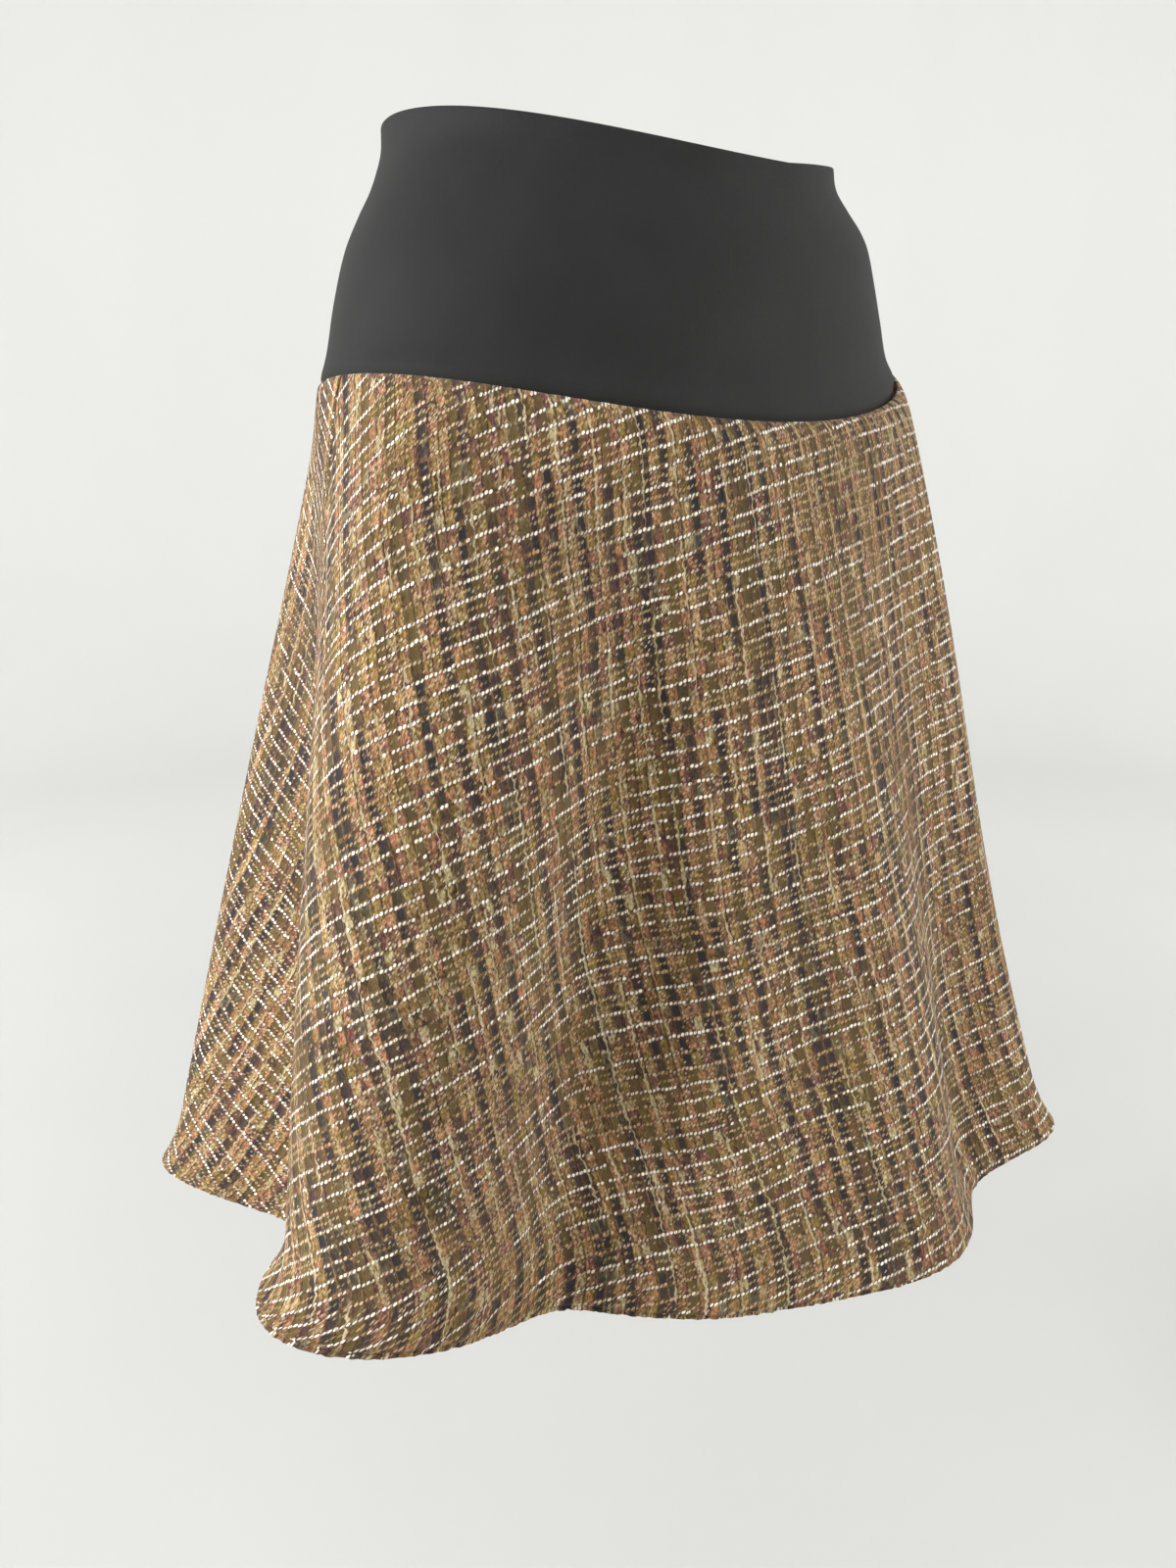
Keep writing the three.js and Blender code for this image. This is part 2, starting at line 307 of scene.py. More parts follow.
def tweed_face(turns, lengths, sizes):
    """The tweed's outer face: the hip ring moved level and outward by the stand-off, and down by the
    running sum of sqrt(step squared - lean squared), with no lean over its steepest share of a step."""
    fine = np.arange(0, sizes.skirt_length + MM, MM)
    off = stand_off(turns[:, None], fine[None, :], sizes)
    lean = np.minimum(np.abs(np.diff(off, axis=1)), STEEPEST_LEAN * MM)
    drop = np.concatenate(
        [np.zeros((len(turns), 1)), np.cumsum(np.sqrt(MM * MM - lean * lean), axis=1)], axis=1)
    place = np.clip(lengths / MM, 0, len(fine) - 1.001)
    low = place.astype(int)
    part = place - low
    off = off[:, low] * (1 - part) + off[:, low + 1] * part
    drop = drop[:, low] * (1 - part) + drop[:, low + 1] * part
    top = ring("hip", turns, sizes)
    angle = np.radians(turns)
    out = unit(np.stack([np.sin(angle) / sizes.hip_width, -np.cos(angle) / sizes.hip_depth], axis=-1))
    face = np.repeat(top[:, None, :], len(lengths), axis=1)
    face[..., :2] += out[:, None, :] * off[..., None]
    face[..., 2] -= drop
    return face


def face_normals(face_at, turns, along, step):
    """Outward normals of a face: the cross product of its two small differences."""
    turn_step = 1e-3
    round_body = face_at(turns + turn_step, along) - face_at(turns - turn_step, along)
    down_cloth = face_at(turns, along + step) - face_at(turns, along - step)
    return unit(np.cross(down_cloth, round_body))


def thick_line(path, half):
    """A line of places (length, depth) given a half thickness and round ends, as a loop that goes down
    one side and back up the other: each point's place on the line and its offset from it."""
    along = unit(np.gradient(path, axis=0))
    side = np.stack([along[:, 1], -along[:, 0]], axis=1)
    angles = np.linspace(0, math.pi, CAP_POINTS + 2)[1:-1, None]
    foot = side[-1] * np.cos(angles) + along[-1] * np.sin(angles)
    head = -side[0] * np.cos(angles) - along[0] * np.sin(angles)
    places = np.concatenate(
        [path, np.repeat(path[-1:], CAP_POINTS, 0), path[::-1], np.repeat(path[:1], CAP_POINTS, 0)])
    offsets = np.concatenate([side, foot, -side[::-1], head])
    return places, offsets * half


def loop_grid(columns, loop, closed_columns):
    """Faces of a grid whose rows are closed loops: (column, place) joined to their neighbours."""
    column = np.arange(columns if closed_columns else columns - 1)[:, None]
    place = np.arange(loop)[None, :]
    after, below = (column + 1) % columns, (place + 1) % loop
    corners = [column * loop + place, column * loop + below, after * loop + below, after * loop + place]
    return np.stack(np.broadcast_arrays(*corners), axis=-1).reshape(-1, 4)


def new_mesh(name, points, faces, uv=None):
    """A smooth mesh object from arrays. uv holds each point's place on the flat cloth."""
    mesh = bpy.data.meshes.new(name)
    mesh.from_pydata(points.reshape(-1, 3).tolist(), [], faces.tolist())
    if uv is not None:
        layer = mesh.uv_layers.new(name="Cloth")
        layer.data.foreach_set("uv", uv[faces.ravel()].astype(np.float32).ravel())
    mesh.polygons.foreach_set("use_smooth", np.full(len(mesh.polygons), True))
    mesh.validate()
    mesh.update()
    obj = bpy.data.objects.new(name, mesh)
    bpy.context.scene.collection.objects.link(obj)
    return obj


def new_piece(name, points, faces, uv, material, node):
    """A piece of cloth with its material and its place in the frame. Points that lie on each other are
    merged, and every face is turned outward."""
    obj = new_mesh(name, points, faces, uv.reshape(-1, 2))
    work = bmesh.new()
    work.from_mesh(obj.data)
    bmesh.ops.remove_doubles(work, verts=work.verts, dist=1e-6)
    bmesh.ops.recalc_face_normals(work, faces=work.faces)
    work.to_mesh(obj.data)
    work.free()
    obj.data.update()
    obj.data.materials.append(material)
    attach(obj, "root")
    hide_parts(node)
    return obj


# ---- The cut ----

EVEN_TURNS = np.linspace(-HALF_TURN, HALF_TURN, 1441)


def cloth_share(turns, lengths, sizes):
    """The share of the way round the skirt, 0 at the centre back: the running sum of the steps along
    the cloth at each length, over their whole sum."""
    face = tweed_face(EVEN_TURNS, lengths, sizes)
    steps = np.linalg.norm(np.diff(face, axis=0), axis=-1)
    girth = np.concatenate([np.zeros((1, len(lengths))), np.cumsum(steps, axis=0)])
    wrapped = (turns + HALF_TURN) % FULL_TURN - HALF_TURN
    laps = np.floor((turns + HALF_TURN) / FULL_TURN)
    place = (wrapped + HALF_TURN) / FULL_TURN * (len(EVEN_TURNS) - 1)
    low = np.clip(place.astype(int), 0, len(EVEN_TURNS) - 2)
    part = (place - low)[:, None]
    cumulative = girth[low] * (1 - part) + girth[low + 1] * part
    return cumulative / girth[-1] + laps[:, None]


def hip_girth(sizes):
    """The girth of the hip ring, where the tweed begins."""
    return np.linalg.norm(np.diff(ring("hip", EVEN_TURNS, sizes), axis=0), axis=-1).sum()


def flat_places(turns, lengths, panel, sizes):
    """Where each place lies on the flat cloth: a sector of a ring, at radius r = R + length and at an
    angle a of the sector times the share from the panel's grain line. The weave hangs off square, by a
    share k that falls from the seam to the hem: across = (r - the sum of k down to there) sin a, and
    up = r ((1 - cos a) (1 + k) - 1)."""
    share = cloth_share(turns, lengths, sizes)
    middle = np.array([sizes.skirt_length / 2])
    grain = cloth_share(np.array([math.degrees(sizes.grain_turn)]), middle, sizes)[0, 0]
    seam = cloth_share(np.array(SEAMS["front"][:1]), middle, sizes)[0, 0]
    if panel == "back":
        grain = 2 * seam - grain + 1
    radius = hip_girth(sizes) / sizes.sector + lengths[None, :]
    angle = sizes.sector * (share - grain)
    left = 1 - lengths / sizes.skirt_length
    sag = SAG["even"] + SAG["top"] * left**2
    pulled = SAG["even"] * lengths - SAG["top"] * sizes.skirt_length * left**3 / 3
    pulled -= np.interp(sizes.skirt_length / 2, lengths, pulled)
    across = (radius - pulled) * np.sin(angle)
    return np.stack([across, radius * ((1 - np.cos(angle)) * (1 + sag) - 1)], axis=-1)


def panel_cut(panel, sizes):
    """A panel's flat width, length and area from its seam to its fold, as a sector of a ring of angle a
    and radii r and R: 2 R sin(a / 2), R - r cos(a / 2) and a (R squared - r squared) / 2."""
    top = cloth_share(np.array(SEAMS[panel]), np.array([0.0]), sizes)
    angle = sizes.sector * (top[1, 0] - top[0, 0])
    inner = hip_girth(sizes) / sizes.sector
    outer = inner + sizes.skirt_length
    area = angle / 2 * (outer * outer - inner * inner)
    return 2 * outer * math.sin(angle / 2), outer - inner * math.cos(angle / 2), area


# ---- Pieces ----

# The fine columns beside a side seam, each edge's distance from it and the dip into it.
EDGE_STEPS = np.array([0, 0.05, 0.2, 0.5, 1, 1.6, 2.4, 3.4, 4.6]) * MM
EDGE_GAP = 0.15 * MM
EDGE_ROLL = {"depth": 0.9 * MM, "width": 1.7 * MM}

# Where down the skirt the columns are evenly spaced, and how finely the girth is measured there.
SPACED_AT = 0.75
GIRTH_STEPS = 2000

# A panel's rows: fine ones under its top edge, then even ones from below the first to above the fold.
TOP_ROWS = np.array([0, 0.6, 1.4, 2.6, 4.2, 6.2, 9, 13]) * MM
EVEN_ROWS = {"below": 17 * MM, "above": 2 * MM, "count": 92}

# The hem: the gap between its layers, how far the panel's own cloth comes back up inside, how far
# above the fold the turned-up edge begins, and their rows.
HEM = {"gap": 0.3 * MM, "back_up": 1.5 * MM, "above_fold": 3.3 * MM, "rows": 4, "fold_points": 9}

# Loose yarn at the edges: how far it strays, and over what length from the edge.
ROUGH = {"out": 0.3 * MM, "reach": 2 * MM}


def panel_columns(panel, sizes):
    """The turns of a panel's columns, even along the cloth well down the skirt, with finer ones at the
    side seams, and each column's distance from its nearer seam."""
    even = np.linspace(*SEAMS[panel], GIRTH_STEPS)
    face = tweed_face(even, np.array([SPACED_AT * sizes.skirt_length]), sizes)[:, 0]
    girth = np.concatenate([[0], np.cumsum(np.linalg.norm(np.diff(face, axis=0), axis=1))])
    edge = EDGE_GAP + EDGE_STEPS
    inside = np.linspace(edge[-1], girth[-1] - edge[-1], sizes.panel_columns)[1:-1]
    place = np.concatenate([edge, inside, girth[-1] - edge[::-1]])
    away = np.minimum(place, girth[-1] - place) - EDGE_GAP
    return np.interp(place, girth, even), away


def seam_depth(away):
    """How far the cloth dips into a side seam: a bell exp(-(distance / width) squared)."""
    return EDGE_ROLL["depth"] * np.exp(-((away / EDGE_ROLL["width"]) ** 2))


def tweed_piece(panel, part, path, sizes, material, rough_from):
    """A part of a panel: the thick line of a path, under the skirt's face, carried round the body. Its
    half thickness closes to nothing at the side seams as a half round, so that outside meets inside.
    Beyond the length rough_from, and at the top edge, each point strays along the cloth by chance."""
    name, half = f"{panel}_{part}_cloth", sizes.tweed_wall / 2
    turns, away = panel_columns(panel, sizes)
    places, offsets = thick_line(path, 1.0)
    thick = half * np.sqrt(np.clip(1 - (1 - np.clip(away / half, 0, 1)) ** 2, 0, 1))
    lengths = np.unique(places[:, 0])
    index = np.searchsorted(lengths, places[:, 0])
    whole = sizes.skirt_length

    def face_at(at_turns, at_lengths):
        return tweed_face(at_turns, np.clip(at_lengths, 0, whole), sizes)

    face = face_at(turns, lengths)
    normals = face_normals(face_at, turns, np.clip(lengths, 2 * MM, whole - 2 * MM), MM)
    above, below = np.clip(lengths, MM, whole) - MM / 2, np.clip(lengths, 0, whole - MM) + MM / 2
    down = unit(face_at(turns, below) - face_at(turns, above))
    base, normal, along = face[:, index], normals[:, index], down[:, index]
    depth = places[None, :, 1] + seam_depth(away)[:, None] - thick[:, None] * offsets[None, :, 1]
    slide = thick[:, None] * offsets[None, :, 0]
    spread = np.random.default_rng(len(name)).normal(0, 1, depth.shape)
    low = np.clip((places[:, 0] - rough_from) / ROUGH["reach"], 0, 1)
    high = np.clip(1 - places[:, 0] / ROUGH["reach"], 0, 1)
    rough = np.maximum(low, high)[None, :]
    slide = slide + np.clip(spread, -2, 2) * ROUGH["out"] * rough * (thick[:, None] > 0)
    points = base - normal * depth[..., None] + along * slide[..., None]
    uv = flat_places(turns, lengths, panel, sizes)[:, index]
    faces = loop_grid(len(turns), len(places), False)
    return new_piece(name, points, faces, uv, material, f"{panel}_{part}")


def make_panel(panel, sizes, material):
    """One tweed panel. Its path goes down the middle of the wall, round the fold of the hem on a half
    circle and a little way up inside."""
    half = sizes.tweed_wall / 2
    fold = half + HEM["gap"] / 2
    start, turn_at = EDGE_GAP + half, sizes.skirt_length - fold - half
    even = np.linspace(start + EVEN_ROWS["below"], turn_at - EVEN_ROWS["above"], EVEN_ROWS["count"])
    down = np.concatenate([start + TOP_ROWS, even, [turn_at]])
    angle = np.linspace(0, math.pi, HEM["fold_points"])[1:]
    lengths = np.concatenate([down, turn_at + fold * np.sin(angle), [turn_at - HEM["back_up"]]])
    depths = np.concatenate([np.full(len(down), half), half + fold * (1 - np.cos(angle)),
                             [half + 2 * fold]])
    path = np.stack([lengths, depths], axis=1)
    return tweed_piece(panel, "panel", path, sizes, material, turn_at - MM)


def make_hem(panel, sizes, material):
    """The turned-up edge of a panel: a straight path inside it, rough all over."""
    half = sizes.tweed_wall / 2
    foot = sizes.skirt_length - 2 * half - HEM["above_fold"]
    head = sizes.skirt_length - sizes.hem_depth + half
    lengths = np.linspace(head, foot, HEM["rows"])
    path = np.stack([lengths, np.full(HEM["rows"], 3 * half + HEM["gap"])], axis=1)
    return tweed_piece(panel, "hem", path, sizes, material, -1)


# The band sinks by a depth over its last length, to pass behind the tweed's top edge. Its seam
# allowance follows points at a length below the seam and a depth inside the face.
SEAM_SINK = {"length": 4 * MM, "depth": 1.6 * MM}
ALLOWANCE = np.array([(0, 2.02), (1, 2.15), (2.5, 2.4), (5, 2.7), (8, 2.8)]) * MM

# The band's grid, the dip of its seam at the centre back, with its width in degrees, and its ripples.
BAND_STEPS = {"round": 480, "down": 48, "last": 0.8 * MM}
BACK_SEAM = {"depth": 0.7 * MM, "width": 0.45}
RIPPLE = 0.35 * MM


def make_yoke(sizes, material):
    """The band. Its path goes down the middle of the folded jersey from the waist to the seam, sinks
    behind the tweed and ends as the seam allowance inside it. Its back seam dips as a bell, and its
    outside ripples as sin(5 t + 9 s) sin(3 t), with t the turn and s the share of the height."""
    half = sizes.band_wall / 2
    height = sizes.band_height
    turns = np.linspace(-HALF_TURN, HALF_TURN, BAND_STEPS["round"] + 1)[:-1]
    down = np.linspace(half, height - BAND_STEPS["last"], BAND_STEPS["down"])
    sunk = np.clip((down - height + SEAM_SINK["length"]) / SEAM_SINK["length"], 0, 1)
    sunk = SEAM_SINK["depth"] * sunk * sunk * (3 - 2 * sunk)
    lengths = np.concatenate([down, height + ALLOWANCE[:, 0]])
    depths = np.concatenate([half + sunk, half + ALLOWANCE[:, 1]])
    places, offsets = thick_line(np.stack([lengths, depths], axis=1), half)

    def face_at(at_turns, shares):
        return band_face(at_turns[:, None], shares[None, :], sizes)

    shares = places[:, 0] / height
    face = face_at(turns, shares)
    inner, step = np.clip(shares, 0.02, 0.97), 0.01
    normals = face_normals(face_at, turns, inner, step)
    down_band = unit(face_at(turns, inner + step) - face_at(turns, inner - step))
    outside = np.clip(offsets[:, 1] / -half, 0, 1)[None, :]
    from_back = (np.abs(turns) - HALF_TURN) / BACK_SEAM["width"]
    back_seam = BACK_SEAM["depth"] * np.exp(-from_back ** 2)[:, None]
    depth = places[None, :, 1] - offsets[None, :, 1] + back_seam
    angle = np.radians(turns)[:, None]
    held = np.clip(shares, 0, 1)[None, :]
    slack = held * (1 - held) * 4
    ripple = RIPPLE * slack * np.sin(5 * angle + 9 * shares) * np.sin(3 * angle + 1.3) * outside
    points = face - normals * (depth + ripple)[..., None] + down_band * offsets[None, :, :1]
    girth = np.radians(turns + HALF_TURN)[:, None] * (sizes.hip_width + sizes.hip_depth) / 4
    uv = np.stack(np.broadcast_arrays(girth, -places[None, :, 0]), axis=-1)
    faces = loop_grid(len(turns), len(places), True)
    return new_piece("band_cloth", points, faces, uv, material, "yoke")


# ---- Materials ----


class Nodes:
    """Adds nodes to a node tree and joins them."""

    def __init__(self, tree):
        self.tree = tree

    def add(self, kind, values=(), **settings):
        """A shader node with its settings; values maps a socket's name or number to its value or to the
        socket that feeds it."""
        node = self.tree.nodes.new("ShaderNode" + kind)
        for name, value in settings.items():
            setattr(node, name, value)
        for socket, value in dict(values).items():
            if isinstance(value, bpy.types.NodeSocket):
                self.tree.links.new(value, node.inputs[socket])
            else:
                node.inputs[socket].default_value = value
        return node

    def group(self, tree, values):
        """A node group with values for its sockets; returns its outputs."""
        return self.add("Group", values, node_tree=tree).outputs

    def math(self, operation, *values):
        """One arithmetic step."""
        return self.add("Math", enumerate(values), operation=operation).outputs[0]

    def times(self, *values):
        """A product of two numbers."""
        return self.math("MULTIPLY", *values)

    def times_add(self, *values):
        """A product of two numbers plus a third."""
        return self.math("MULTIPLY_ADD", *values)

    def span(self, value, low, high, start=0.0, end=1.0, kind="SMOOTHSTEP"):
        """A smooth step from start to end as the value goes from low to high."""
        return self.add("MapRange", {
            "Value": value, "From Min": low, "From Max": high, "To Min": start, "To Max": end,
        }, interpolation_type=kind).outputs["Result"]

    def slope(self, *values):
        """A straight step, with the values of a smooth one."""
        return self.span(*values, kind="LINEAR")

    def combine(self, x, y, z=0.0):
        """A vector from its parts."""
        return self.add("CombineXYZ", enumerate((x, y, z))).outputs[0]

    def noise(self, vector, scale, detail=1.0, rough=0.5):
        """Soft noise, spread to about 0 to 1."""
        node = self.add("TexNoise", {
            "Vector": vector, "Scale": scale, "Detail": detail, "Roughness": rough,
        }, noise_dimensions="2D")
        return self.slope(node.outputs["Fac"], 0.28, 0.72)

    def chance(self, x, y):
        """An even random number for each pair of whole numbers."""
        return self.add("TexWhiteNoise", {"Vector": self.combine(x, y)},
                        noise_dimensions="2D").outputs["Value"]

    def mix(self, share, start, end):
        """A colour between two."""
        return self.add("Mix", {0: share, 6: start, 7: end}, data_type="RGBA").outputs[2]

    def shade(self, colour, amount):
        """A colour times a number."""
        grey = self.add("CombineColor", enumerate((amount, amount, amount))).outputs[0]
        return self.add("Mix", {0: 1.0, 6: colour, 7: grey}, data_type="RGBA",
                        blend_type="MULTIPLY").outputs[2]

    def surface(self, values):
        """The material's shader, joined to its output."""
        shader = self.add("BsdfPrincipled", values)
        output = self.add("OutputMaterial", {"Surface": shader.outputs[0]})
        output.is_active_output = True

    def ramp(self, value, stops):
        """Colours along a value."""
        node = self.add("ValToRGB", {"Fac": value})
        elements = node.color_ramp.elements
        elements[0].position, elements[0].color = stops[0][0], (*stops[0][1], 1)
        elements[1].position, elements[1].color = stops[-1][0], (*stops[-1][1], 1)
        for position, colour in stops[1:-1]:
            elements.new(position).color = (*colour, 1)
        return node.outputs["Color"]


def solid(colour):
    """A colour with its alpha."""
    return (*colour, 1)


def new_material(name):
    """An empty material and its nodes."""
    material = bpy.data.materials.new(name)
    material.use_nodes = True
    material.node_tree.nodes.clear()
    return material, Nodes(material.node_tree)


def new_group(name, inputs, outputs):
    """A shader node group with named sockets; each input and output is (name, socket type, value)."""
    tree = bpy.data.node_groups.new(name, "ShaderNodeTree")
    for title, kind, value in inputs:
        socket = tree.interface.new_socket(name=title, in_out="INPUT", socket_type=kind)
        socket.default_value = value
    for title, kind in outputs:
        tree.interface.new_socket(name=title, in_out="OUTPUT", socket_type=kind)
    start, end = tree.nodes.new("NodeGroupInput"), tree.nodes.new("NodeGroupOutput")
    return tree, Nodes(tree), start.outputs, end.inputs


def fibre_group():
    """Fine fibres: stretched noise, with finer noise on it, from 0 to 1."""
    if "Fibres" in bpy.data.node_groups:
        return bpy.data.node_groups["Fibres"]
    tree, nodes, start, end = new_group(
        "Fibres",
        [("Place", "NodeSocketVector", (0, 0, 0)), ("Across", "NodeSocketFloat", 900),
         ("Along", "NodeSocketFloat", 350)],
        [("Fibre", "NodeSocketFloat")])
    u, v, _ = nodes.add("SeparateXYZ", {0: start["Place"]}).outputs
    stretched = nodes.combine(nodes.times(u, start["Across"]), nodes.times(v, start["Along"]))
    tree.links.new(nodes.noise(stretched, 1, 2, 0.65), end["Fibre"])
    return tree


# The weave: from one warp yarn to the next, from one row of weft to the next, and how many warp yarns
# repeat; the share of these bundles that begin with a charcoal yarn, and that of stray ones.
WARP_PITCH = 4.4 * MM
WEFT_PITCH = 7.6 * MM
BUNDLE = 3
CHARCOAL = {"bundles": 0.95, "stray": 0.1}

# The slanted strokes of the weft, with their half widths in whole rows and in the half rows between,
# and the cells of the ticks.
STROKE = {"pitch": 1.95 * MM, "half_length": 1.0 * MM, "row": 0.62 * MM, "half_row": 0.5 * MM,
          "jitter": 0.7 * MM, "slant": math.radians(42)}
GRAIN = {"length": 2.3 * MM, "width": 1.15 * MM}

# The thin cream warp yarn: its place in the bundle and the play of that, its crinkle, and its half
# width where it is thin and what the slubs add.
CREAM = {"at": 4.8 * MM, "play": 5 * MM, "crinkle": 0.9 * MM, "thin": 0.12 * MM, "slub": 0.55 * MM}

# Noise along the yarns: a number that sets neighbours apart, and its waves to the metre.
YARN_NOISE = {
    "warp_tone": (3.7, 26), "ground_tone": (5.7, 42), "ticks": (6.1, 20),
    "charcoal_tint": (8.1, 14), "charcoal_fade": (5.3, 12), "white_weft": (5.3, 20),
    "half_row": (7.1, 30), "crinkle": (2.3, 330), "slub": (2.9, 190), "cream_fade": (5.1, 22),
}

# A number for each kind of chance, so that no two draws are alike.
DRAW = {"warp": 3, "weft": 5, "stray": 11, "bundle": 13, "cream": 17, "cream_tone": 23}

# How high the yarns and fibres stand, against a warp yarn of 1.
RELIEF = {"stroke": 0.45, "tick": 0.2, "cream": 0.4, "fibre": 0.3, "depth": 0.9 * MM}

# The second tone of the charcoal, the tan and the cream yarns.
OLIVE = (0.085, 0.058, 0.02)
RUST = (0.50, 0.31, 0.17)
STRAW = (0.46, 0.37, 0.18)

# Colours along a value from 0 to 1: of the warp, of the ground that shows through it and of the ticks.
WARP_TONES = [
    (0.00, (0.068, 0.039, 0.016)),
    (0.10, (0.171, 0.107, 0.034)),
    (0.22, (0.400, 0.330, 0.190)),
    (0.32, (0.125, 0.067, 0.026)),
    (0.43, (0.330, 0.148, 0.080)),
    (0.53, (0.190, 0.130, 0.036)),
    (0.62, (0.125, 0.061, 0.048)),
    (0.72, (0.280, 0.125, 0.070)),
    (0.84, (0.160, 0.107, 0.034)),
    (1.00, (0.342, 0.219, 0.100)),
]
GROUND_TONES = [
    (0.00, (0.103, 0.063, 0.020)),
    (0.18, (0.194, 0.128, 0.036)),
    (0.34, (0.137, 0.059, 0.044)),
    (0.46, (0.108, 0.049, 0.040)),
    (0.58, (0.235, 0.120, 0.056)),
    (0.72, (0.171, 0.107, 0.036)),
    (0.86, (0.274, 0.168, 0.070)),
    (1.00, (0.194, 0.087, 0.066)),
]
TICK_TONES = [
    (0.00, (0.38, 0.18, 0.10)),
    (0.25, (0.50, 0.30, 0.17)),
    (0.50, (0.42, 0.36, 0.17)),
    (0.75, (0.68, 0.60, 0.44)),
    (1.00, (0.45, 0.29, 0.21)),
]


def tweed_material(colours):
    """Tweed on the flat cloth's places. Columns of thick warp yarns hold cells between the rows of
    weft, whose colour follows column, row and chance; one column in three holds charcoal cells, and
    slanted ticks of paler fibre lie on the rest. The rows of weft are short slanted strokes, white in
    stretches and tan between them. A thin cream warp yarn crinkles down each bundle."""
    material, n = new_material("tweed_cloth")
    place = n.add("UVMap", uv_map="Cloth").outputs[0]
    u, v, _ = n.add("SeparateXYZ", {0: place}).outputs

    def along_yarn(number, kind, place_along, detail=0):
        """Noise that changes along each yarn on its own."""
        seed, per_metre = YARN_NOISE[kind]
        at = n.combine(n.times(number, seed), n.times(place_along, per_metre))
        return n.noise(at, 1, detail)

    def slanted(along, off):
        """Places along and across a line that leans by the strokes' slant."""
        cos, sin = math.cos(STROKE["slant"]), math.sin(STROKE["slant"])
        long = n.times_add(along, cos, n.times(off, sin))
        short = n.times_add(off, cos, n.times(along, -sin))
        return long, short

    def in_cell(value):
        """How far a number lies from the middle between two whole ones."""
        return n.math("SUBTRACT", n.math("FRACT", value), 0.5)

    wave = n.add("TexNoise", {"Vector": place, "Scale": 17, "Detail": 2},
                 noise_dimensions="2D").outputs["Color"]
    waves = n.add("SeparateColor", {0: wave}).outputs
    warps = n.times_add(u, 1 / WARP_PITCH, n.times(waves[0], 1.2))
    wefts = n.times_add(v, 1 / WEFT_PITCH, n.times(waves[1], 0.5))
    column, row = n.math("FLOOR", warps), n.math("FLOOR", wefts)
    bundle = n.math("FLOOR", n.math("DIVIDE", warps, BUNDLE))
    across = n.math("ABSOLUTE", in_cell(warps))
    along = n.math("ABSOLUTE", in_cell(wefts))
    pool = n.noise(place, 9)
    cell_chance = n.chance(column, row)
    lead = n.math("SUBTRACT", column, n.times(bundle, BUNDLE))
    first = n.math("LESS_THAN", lead, 0.5)

    # The warp's tones, and the ground's between its strands.
    tone = n.times(along_yarn(column, "warp_tone", v), 0.35)
    tone = n.times_add(n.chance(column, DRAW["warp"]), 0.25, tone)
    tone = n.times_add(cell_chance, 0.5, tone)
    ground_tone = n.times_add(along_yarn(row, "ground_tone", u), 0.75, n.times(cell_chance, 0.25))
    strand = n.noise(n.combine(n.times(u, 420), n.times(v, 160)), 1, 0)
    colour = n.mix(n.span(strand, 0.35, 0.65), n.ramp(n.slope(tone, 0.17, 0.93), WARP_TONES),
                   n.ramp(ground_tone, GROUND_TONES))
    fibre = n.group(fibre_group(), {"Place": place, "Across": 1050, "Along": 480})["Fibre"]
    colour = n.shade(colour, n.slope(fibre, 0.1, 0.9, 0.42, 1.55))

    # Charcoal cells, and painted shade in the creases between all cells.
    dark = n.times(first, n.math("LESS_THAN", n.chance(bundle, DRAW["bundle"]), CHARCOAL["bundles"]))
    stray = n.math("LESS_THAN", n.chance(column, DRAW["stray"]), CHARCOAL["stray"])
    dark = n.math("MAXIMUM", dark, stray)
    charcoal = n.mix(n.span(along_yarn(column, "charcoal_tint", v), 0.5, 0.75), solid(colours.charcoal),
                     solid(OLIVE))
    block = n.times(n.span(across, 0.32, 0.46, 1, 0), n.span(along, 0.3, 0.43, 1, 0))
    block = n.times(block, n.span(along_yarn(column, "charcoal_fade", v), 0.15, 0.45, 0.85, 1))
    block = n.times(block, n.slope(cell_chance, 0, 1, 0.8, 1))
    colour = n.mix(n.times(block, dark), colour, charcoal)
    # Painted shade: each cell is darkened towards its edges, where the yarns dip between their
    # neighbours.
    painted_crease_shade = n.times(n.span(across, 0.3, 0.5, 1, 0.45), n.span(along, 0.3, 0.5, 1, 0.55))
    colour = n.shade(colour, painted_crease_shade)

    # Ticks of paler fibre.
    lean, rise = slanted(u, v)
    lean, rise = n.math("DIVIDE", lean, GRAIN["length"]), n.math("DIVIDE", rise, GRAIN["width"])
    cells = n.add("TexVoronoi", {"Vector": n.combine(lean, rise), "Scale": 1},
                  voronoi_dimensions="2D").outputs
    tint = n.add("SeparateColor", {0: cells["Color"]}).outputs
    crowd = n.times_add(cell_chance, 0.3, n.times(along_yarn(column, "ticks", v), 0.4))
    crowd = n.times(crowd, n.math("SUBTRACT", 1, n.times(dark, 0.75)))
    tick = n.times(n.span(cells["Distance"], 0.15, 0.5, 1, 0), n.math("LESS_THAN", tint[0], crowd))
    colour = n.mix(n.times(tick, 0.65), colour, n.ramp(tint[1], TICK_TONES))

